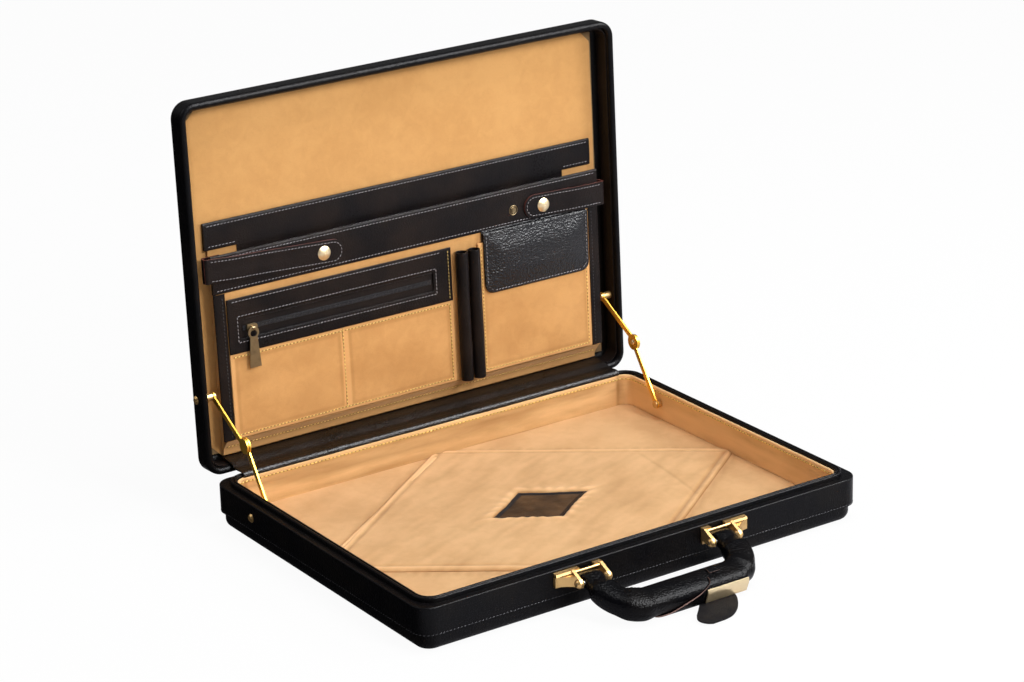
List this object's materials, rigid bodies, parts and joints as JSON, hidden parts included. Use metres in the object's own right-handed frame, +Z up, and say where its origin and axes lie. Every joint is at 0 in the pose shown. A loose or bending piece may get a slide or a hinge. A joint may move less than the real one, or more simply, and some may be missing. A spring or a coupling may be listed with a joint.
{
  "type": "attache case",
  "caption": "Slim leather attache case standing open, with a suede lining, a lid organiser, folding lid stays and a drooping handle on brass fittings.",
  "frame": {"origin": "centre of the base's underside, on the plane that the case rests on", "axes": "+Z up, +X to the right seen from the handle's side, +Y from the handle towards the hinges"},
  "size_m": [0.4532, 0.4701, 0.3735],
  "materials": {
    "leather": "glossy pebbled",
    "lining_leather": "satin",
    "suede": "matte nap",
    "board": "matte",
    "brass": "polished",
    "pale_brass": "satin",
    "steel": "satin"
  },
  "bodies": {
    "base": {"base_frame": "leather", "base_lip": "leather", "base_tray": "leather", "base_wall_lining": "suede", "floor_pad": "board", "floor_lining": "suede", "floor_centre_panel": "suede", "floor_patch": "lining_leather", "hinge_leaves_base": "brass", "hinge_screws_base": "brass", "hinge_pins": "steel", "hinge_cover": "lining_leather", "handle_brackets": "brass", "bracket_screws": "brass", "handle_pins": "steel", "stay_rivets_base": "pale_brass"},
    "lid": {"lid_frame": "leather", "lid_bead": "leather", "lid_tray": "leather", "lid_padding": "board", "lid_wall_lining": "lining_leather", "lid_back_panel": "suede", "hinge_leaves_lid": "brass", "hinge_screws_lid": "brass", "stay_rivets_lid": "pale_brass", "rear_pocket_sheet": "suede", "rear_pocket_band": "leather", "front_pocket_sheet": "suede", "front_pocket_band": "leather", "pocket_base_strip": "suede", "gusset_left": "suede", "gusset_right": "suede", "edge_bindings": "leather", "zip_pocket_top": "leather", "zip_pocket_lower": "suede", "zipper": "lining_leather", "pen_loops": "leather", "flap_pocket": "suede", "strap_tabs": "leather", "snap_studs": "brass"},
    "stay_lower_left": {"stay_lower_left": "brass", "elbow_rivet_left": "pale_brass"},
    "stay_lower_right": {"stay_lower_right": "brass", "elbow_rivet_right": "pale_brass"},
    "stay_upper_left": {"stay_upper_left": "brass"},
    "stay_upper_right": {"stay_upper_right": "brass"},
    "handle": {"handle_grip": "leather", "handle_core": "steel", "tag_plate": "pale_brass", "tag_strap": "lining_leather"},
    "tag": {"tag_flap": "leather"},
    "latch_left": {"latch_slide_left": "pale_brass"},
    "latch_right": {"latch_slide_right": "pale_brass"},
    "zip_slider": {"zip_slider": "brass"},
    "zip_pull": {"zip_pull": "brass"},
    "pocket_flap": {"pocket_flap": "leather"},
    "strap_left": {"strap_left": "leather", "snap_cap_left": "pale_brass"},
    "strap_right": {"strap_right": "leather", "snap_cap_right": "pale_brass"}
  },
  "joints": [
    {"name": "lid_hinge", "type": "hinge", "parent": "base", "child": "lid", "pos_m": [0, 0.1703, 0.0367], "axis": [-1, 0, 0], "range_deg": [-92, 0], "deforming": ["hinge_cover"]},
    {"name": "stay_lower_left", "type": "hinge", "parent": "base", "child": "stay_lower_left", "pos_m": [-0.207, 0.102, 0.0275], "axis": [-1, 0, 0], "range_deg": [-118.5, 0]},
    {"name": "stay_upper_left", "type": "hinge", "parent": "lid", "child": "stay_upper_left", "pos_m": [-0.2089, 0.18853, 0.10891], "axis": [-1, 0, 0], "range_deg": [0, 104.5]},
    {"name": "stay_lower_right", "type": "hinge", "parent": "base", "child": "stay_lower_right", "pos_m": [0.207, 0.102, 0.0275], "axis": [-1, 0, 0], "range_deg": [-118.5, 0]},
    {"name": "stay_upper_right", "type": "hinge", "parent": "lid", "child": "stay_upper_right", "pos_m": [0.2089, 0.18853, 0.10891], "axis": [-1, 0, 0], "range_deg": [0, 104.5]},
    {"name": "handle_swing", "type": "hinge", "parent": "base", "child": "handle", "pos_m": [0, -0.18, 0.0285], "axis": [-1, 0, 0], "range_deg": [0, 111]},
    {"name": "tag_swing", "type": "hinge", "parent": "handle", "child": "tag", "pos_m": [0, -0.23019, 0.00294], "axis": [-1, 0, 0], "range_deg": [0, 70]},
    {"name": "latch_slide_left", "type": "slide", "parent": "base", "child": "latch_left", "axis": [-1, 0, 0], "range_m": [0, 0.004], "stiffness_N_per_m": 200},
    {"name": "latch_slide_right", "type": "slide", "parent": "base", "child": "latch_right", "axis": [1, 0, 0], "range_m": [0, 0.004], "stiffness_N_per_m": 200},
    {"name": "zip_slide", "type": "slide", "parent": "lid", "child": "zip_slider", "axis": [1, 0, 0], "range_m": [0, 0.176]},
    {"name": "zip_pull_swing", "type": "hinge", "parent": "zip_slider", "child": "zip_pull", "pos_m": [-0.17, 0.17943, 0.16626], "axis": [-1, 0, 0], "range_deg": [0, 110]},
    {"name": "pocket_flap_swing", "type": "hinge", "parent": "lid", "child": "pocket_flap", "pos_m": [0.131, 0.1821, 0.19969], "axis": [-1, 0, 0], "range_deg": [0, 100]},
    {"name": "strap_left_swing", "type": "hinge", "parent": "lid", "child": "strap_left", "pos_m": [-0.2099, 0.18483, 0.22361], "axis": [0, -0.0349, -0.9994], "range_deg": [0, 100]},
    {"name": "strap_right_swing", "type": "hinge", "parent": "lid", "child": "strap_right", "pos_m": [0.2099, 0.18443, 0.21211], "axis": [0, 0.0349, 0.9994], "range_deg": [0, 100]}
  ],
  "couplings": [
    {"joint": "stay_lower_left", "follows": "lid_hinge", "ratio": 1.2837},
    {"joint": "stay_upper_left", "follows": "lid_hinge", "ratio": -1.1319},
    {"joint": "stay_lower_right", "follows": "lid_hinge", "ratio": 1.2837},
    {"joint": "stay_upper_right", "follows": "lid_hinge", "ratio": -1.1319}
  ]
}
